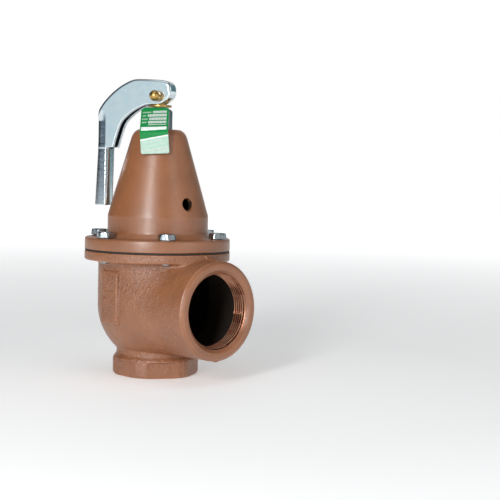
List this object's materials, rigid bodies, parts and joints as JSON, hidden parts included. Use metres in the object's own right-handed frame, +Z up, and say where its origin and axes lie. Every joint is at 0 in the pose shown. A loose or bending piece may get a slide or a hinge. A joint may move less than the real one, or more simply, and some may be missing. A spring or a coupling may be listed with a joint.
{
  "type": "pressure relief valve",
  "caption": "Angle-pattern pressure relief valve with threaded inlet below and outlet at the side, flanged conical spring bonnet, manual lift lever and rating plate.",
  "frame": {"origin": "on the stem axis, in the plane of the inlet face at the bottom of the valve", "axes": "+Z up along the stem, +X along the outlet, out of its mouth"},
  "size_m": [0.1372, 0.119, 0.2413],
  "materials": {
    "casting": "bronze-brown paint over a rough casting, machined faces painted over",
    "rubber": "matt black",
    "brass": "turned, slightly dulled",
    "zinc": "bright blue-white zinc plate",
    "spring_steel": "dark oiled spring steel",
    "printed_plate": "printed in green and white under clear lacquer"
  },
  "bodies": {
    "casing": {"valve_body": "casting", "bonnet": "casting", "diaphragm": "rubber", "seat_ring": "brass", "spring": "spring_steel", "flange_bolt_1": "zinc", "flange_bolt_2": "zinc", "flange_bolt_3": "zinc", "flange_bolt_4": "zinc", "flange_bolt_5": "zinc", "flange_bolt_6": "zinc"},
    "disc_group": {"seat_disc": "rubber", "seat_disc_washer": "brass", "seat_disc_screw": "brass", "disc_holder": "brass", "diaphragm_plate": "brass", "lower_spring_button": "brass", "stem_retainer": "brass"},
    "lifting_stem": {"stem": "brass"},
    "lifting_lever": {"lever": "zinc", "lever_pin": "brass"},
    "spring_adjuster": {"upper_spring_button": "brass", "lever_washer": "brass"},
    "setting_screw": {"adjusting_screw": "zinc"},
    "hanging_plate": {"rating_plate": "printed_plate"}
  },
  "joints": [
    {"name": "disc_lift", "type": "slide", "parent": "casing", "child": "disc_group", "axis": [0, 0, 1], "range_m": [0, 0.0016], "stiffness_N_per_m": 3000, "springref_m": -0.004, "deforming": ["spring", "diaphragm"]},
    {"name": "stem_swivel", "type": "hinge", "parent": "disc_group", "child": "lifting_stem", "pos_m": [0, 0, 0.1073], "axis": [0, 0, 1], "continuous": true},
    {"name": "lever_lift", "type": "hinge", "parent": "lifting_stem", "child": "lifting_lever", "pos_m": [0, 0, 0.2274], "axis": [-0.4695, 0.8829, 0], "range_deg": [0, 36]},
    {"name": "spring_setting", "type": "slide", "parent": "casing", "child": "spring_adjuster", "axis": [0, 0, 1], "range_m": [-0.003, 0], "deforming": ["spring"]},
    {"name": "setting_screw_turn", "type": "hinge", "parent": "spring_adjuster", "child": "setting_screw", "pos_m": [0, 0, 0.1844], "axis": [0, 0, 1], "range_deg": [-720, 0]},
    {"name": "plate_swivel", "type": "hinge", "parent": "spring_adjuster", "child": "hanging_plate", "pos_m": [0, 0, 0.21775], "axis": [0, 0, 1], "continuous": true}
  ],
  "couplings": [
    {"joint": "disc_lift", "follows": "lever_lift", "m_per_rad": 0.00235},
    {"joint": "setting_screw_turn", "follows": "spring_setting", "rad_per_m": 4188.8}
  ]
}
